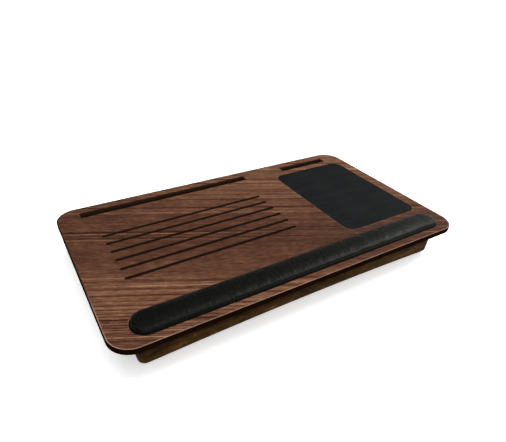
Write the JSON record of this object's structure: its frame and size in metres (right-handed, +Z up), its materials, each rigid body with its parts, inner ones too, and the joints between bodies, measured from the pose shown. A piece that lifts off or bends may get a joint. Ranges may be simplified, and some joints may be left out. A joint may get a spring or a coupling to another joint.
{
  "type": "laptop stand with drawer",
  "caption": "Low laptop stand: walnut board with cooling slots, tablet and phone slots, inlaid mouse pad and padded wrist rest on a dark case whose front is a sliding drawer.",
  "frame": {"origin": "middle of the footprint, on the surface that the feet stand on", "axes": "+X to the right of a person at the stand, +Y away from them, +Z up; the drawer opens towards -Y"},
  "size_m": [0.6, 0.35, 0.0685],
  "materials": {
    "walnut_veneer": "satin walnut veneer",
    "board_core": "brown fibreboard",
    "edge_band": "satin, near-black brown",
    "leatherette": "fine-grained black leatherette",
    "foam": "dark grey open-cell foam",
    "hardboard": "smooth brown hardboard",
    "stained_wood": "dark brown stain, satin",
    "pale_wood": "clear-lacquered beech",
    "felt": "charcoal felt",
    "steel": "zinc-plated",
    "magnet": "nickel-plated",
    "rubber": "matte black rubber"
  },
  "bodies": {
    "stand": {"top_board": "board_core", "top_veneer": "walnut_veneer", "edge_band": "edge_band", "mouse_pad": "leatherette", "wrist_rest_cover": "leatherette", "wrist_rest_foam": "foam", "wrist_rest_backing": "hardboard", "device_rail": "stained_wood", "case_left_side": "stained_wood", "case_right_side": "stained_wood", "case_back": "stained_wood", "bottom_panel": "hardboard", "case_dowels": "pale_wood", "left_cleat": "stained_wood", "right_cleat": "stained_wood", "left_runner": "pale_wood", "right_runner": "pale_wood", "left_stop": "pale_wood", "right_stop": "pale_wood", "catch_magnets": "magnet", "front_left_foot": "rubber", "front_right_foot": "rubber", "back_left_foot": "rubber", "back_right_foot": "rubber", "cleat_screws": "steel", "rail_screws": "steel", "stop_screws": "steel", "bottom_screws": "steel", "left_runner_screws": "steel", "right_runner_screws": "steel"},
    "drawer": {"drawer_front": "stained_wood", "drawer_box_front": "pale_wood", "drawer_left_side": "pale_wood", "drawer_right_side": "pale_wood", "drawer_back": "pale_wood", "drawer_bottom": "hardboard", "drawer_liner": "felt", "drawer_divider": "pale_wood", "catch_discs": "steel", "left_box_screws": "steel", "right_box_screws": "steel", "front_screws": "steel"}
  },
  "joints": [
    {"name": "drawer_slide", "type": "slide", "parent": "stand", "child": "drawer", "axis": [0, -1, 0], "range_m": [0, 0.19]}
  ]
}
